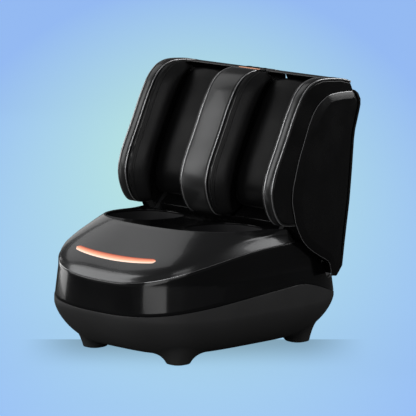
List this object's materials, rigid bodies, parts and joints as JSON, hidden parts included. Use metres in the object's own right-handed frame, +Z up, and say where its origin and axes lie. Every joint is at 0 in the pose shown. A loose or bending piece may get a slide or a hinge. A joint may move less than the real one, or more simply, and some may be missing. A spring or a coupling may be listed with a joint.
{
  "type": "foot and calf massager",
  "caption": "Floor-standing foot and calf massager: a base with two foot wells under a padded calf unit that tilts, with kneading rollers, air bags and a lit front strip.",
  "frame": {"origin": "on the floor under the middle of the base", "axes": "+Z up, -Y towards the user, +X to the right of someone facing the front; the two foot wells are mirror images across X"},
  "size_m": [0.432, 0.494, 0.518],
  "materials": {
    "shell": "satin black moulded plastic",
    "band": "gloss black",
    "cover": "metallic dark grey gloss",
    "strip": "satin metallic grey",
    "lit": "lit orange translucent",
    "accent": "lit rose gold",
    "liner": "matte dark grey",
    "wall": "matte black",
    "cushion": "black synthetic leather",
    "airbag": "grey sheet rubber",
    "foot_rubber": "black rubber",
    "roller": "soft orange rubber",
    "steel": "grey paint",
    "bright_steel": "bright",
    "motor": "silver",
    "nylon": "white nylon",
    "belt": "black",
    "pump": "grey",
    "valve": "ivory",
    "hose": "clear grey",
    "board": "green board",
    "inlet": "black",
    "brass": "bright",
    "panel": "gloss black",
    "key": "dark grey",
    "rocker": "light grey"
  },
  "bodies": {
    "base": {"bottom_shell": "shell", "feet": "shell", "rubber_feet": "foot_rubber", "side_band": "band", "top_cover": "cover", "top_plate": "band", "rear_deck": "band", "light_lens": "lit", "light_board": "board", "foot_liner_left": "liner", "foot_liner_right": "liner", "sole_trays": "liner", "foot_airbags": "airbag", "chassis": "steel", "bearing_blocks": "nylon", "drive_motor": "motor", "drive_belt": "belt", "air_pump": "pump", "valve_block": "valve", "air_hoses": "hose", "power_board": "board", "control_board": "board", "mains_inlet": "inlet", "hinge_brackets": "steel", "base_screws": "bright_steel"},
    "motor_drive": {"motor_pinion": "brass"},
    "rear_kneader": {"drive_gear": "nylon", "rear_roller_shaft": "bright_steel", "rear_rollers": "roller", "rear_pulley": "nylon"},
    "front_kneader": {"front_roller_shaft": "bright_steel", "front_rollers": "roller", "front_pulley": "nylon"},
    "power_switch": {"power_rocker": "rocker"},
    "calf_unit": {"calf_frame": "steel", "hinge_pins": "bright_steel", "rear_cover": "shell", "side_cover_left": "shell", "side_cover_right": "shell", "left_wall": "wall", "centre_wall": "wall", "right_wall": "wall", "left_strip": "strip", "centre_strip": "strip", "right_strip": "strip", "left_outer_cushion": "cushion", "left_inner_cushion": "cushion", "right_inner_cushion": "cushion", "right_outer_cushion": "cushion", "left_rear_cushion": "cushion", "right_rear_cushion": "cushion", "calf_airbags": "airbag", "top_caps": "shell", "base_pan": "shell", "control_panel": "panel", "accent_bar": "accent", "panel_board": "board"},
    "mode_key": {"mode_button": "key"},
    "power_key": {"power_button": "key"},
    "heat_key": {"heat_button": "key"}
  },
  "joints": [
    {"name": "calf_tilt", "type": "hinge", "parent": "base", "child": "calf_unit", "pos_m": [0, 0.053, 0.214], "axis": [1, 0, 0], "range_deg": [0, 12]},
    {"name": "rear_kneader_spin", "type": "hinge", "parent": "base", "child": "rear_kneader", "pos_m": [0, 0.005, 0.062], "axis": [1, 0, 0], "continuous": true},
    {"name": "front_kneader_spin", "type": "hinge", "parent": "base", "child": "front_kneader", "pos_m": [0, -0.115, 0.062], "axis": [1, 0, 0], "continuous": true},
    {"name": "motor_spin", "type": "hinge", "parent": "base", "child": "motor_drive", "pos_m": [0, 0.04115, 0.062], "axis": [1, 0, 0], "continuous": true},
    {"name": "power_switch_rock", "type": "hinge", "parent": "base", "child": "power_switch", "pos_m": [0.016, 0.234, 0.07], "axis": [-1, 0, 0], "range_deg": [0, 14]},
    {"name": "mode_press", "type": "slide", "parent": "calf_unit", "child": "mode_key", "axis": [0, -0.0727, -0.9974], "range_m": [0, 0.0009], "stiffness_N_per_m": 800, "springref_m": -0.0006},
    {"name": "power_press", "type": "slide", "parent": "calf_unit", "child": "power_key", "axis": [0, -0.0727, -0.9974], "range_m": [0, 0.0009], "stiffness_N_per_m": 800, "springref_m": -0.0006},
    {"name": "heat_press", "type": "slide", "parent": "calf_unit", "child": "heat_key", "axis": [0, -0.0727, -0.9974], "range_m": [0, 0.0009], "stiffness_N_per_m": 800, "springref_m": -0.0006}
  ],
  "couplings": [
    {"joint": "front_kneader_spin", "follows": "rear_kneader_spin", "ratio": 1},
    {"joint": "motor_spin", "follows": "rear_kneader_spin", "ratio": -5}
  ]
}
